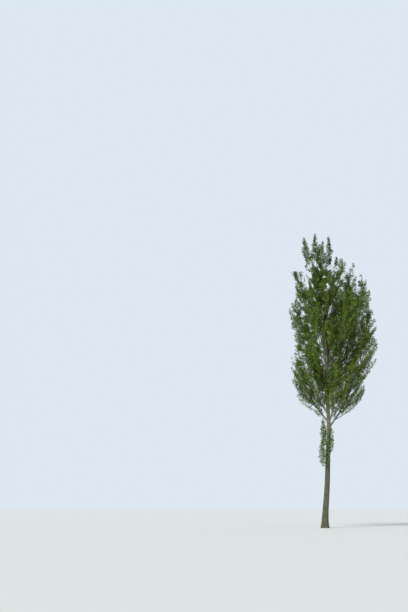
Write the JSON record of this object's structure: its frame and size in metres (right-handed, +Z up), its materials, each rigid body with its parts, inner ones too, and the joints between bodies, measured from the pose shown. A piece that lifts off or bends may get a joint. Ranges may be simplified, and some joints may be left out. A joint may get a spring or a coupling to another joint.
{
  "type": "poplar tree",
  "caption": "Tall poplar with a long clean pale stem that leans slightly low down, ascending boughs that turn upright, and a full leafy crown ending in separate narrow spires.",
  "frame": {"origin": "middle of the flat cut under the trunk, at ground level", "axes": "+Z up, +X to the right of the picture, +Y away from its camera"},
  "size_m": [8.5249, 7.4018, 28],
  "materials": {
    "bark": "matt pale grey bark, faintly ridged",
    "foliage": "matt mid green leaves"
  },
  "bodies": {
    "root": {"trunk": "bark", "bough_low_front": "bark", "bough_low_right": "bark", "bough_low_back_left": "bark", "bough_lower_left": "bark", "bough_lower_front_right": "bark", "bough_lower_back": "bark", "bough_lower_front_left": "bark", "bough_middle_right": "bark", "bough_middle_back_left": "bark", "bough_middle_front_right": "bark", "bough_middle_left": "bark", "bough_middle_back_right": "bark", "bough_upper_front_right": "bark", "bough_upper_front_left": "bark", "bough_upper_back": "bark", "bough_upper_right": "bark", "bough_upper_front": "bark", "bough_high_left": "bark", "bough_high_back_right": "bark", "bough_high_right": "bark", "bough_high_back_left": "bark", "bough_high_front_right": "bark", "mass_low_front": "foliage", "mass_low_right": "foliage", "mass_low_back_left": "foliage", "mass_lower_left": "foliage", "mass_lower_front_right": "foliage", "mass_lower_back": "foliage", "mass_lower_front_left": "foliage", "mass_inner_front": "foliage", "mass_inner_right": "foliage", "mass_inner_left": "foliage", "mass_middle_right": "foliage", "mass_middle_back_left": "foliage", "mass_middle_front_right": "foliage", "mass_middle_left": "foliage", "mass_middle_back_right": "foliage", "mass_upper_front_right": "foliage", "mass_upper_front_left": "foliage", "mass_upper_back": "foliage", "mass_upper_right": "foliage", "mass_upper_front": "foliage", "mass_high_left": "foliage", "mass_high_back_right": "foliage", "mass_high_right": "foliage", "mass_high_back_left": "foliage", "mass_high_front_right": "foliage", "mass_spire_back": "foliage", "mass_spire_right": "foliage", "mass_spire_front_left": "foliage", "mass_spire_front_right": "foliage", "mass_top_right": "foliage", "mass_top_left": "foliage", "mass_top_front": "foliage", "mass_top_back": "foliage", "mass_leader": "foliage", "low_tuft_1": "foliage", "low_tuft_2": "foliage", "low_tuft_3": "foliage"}
  },
  "joints": []
}
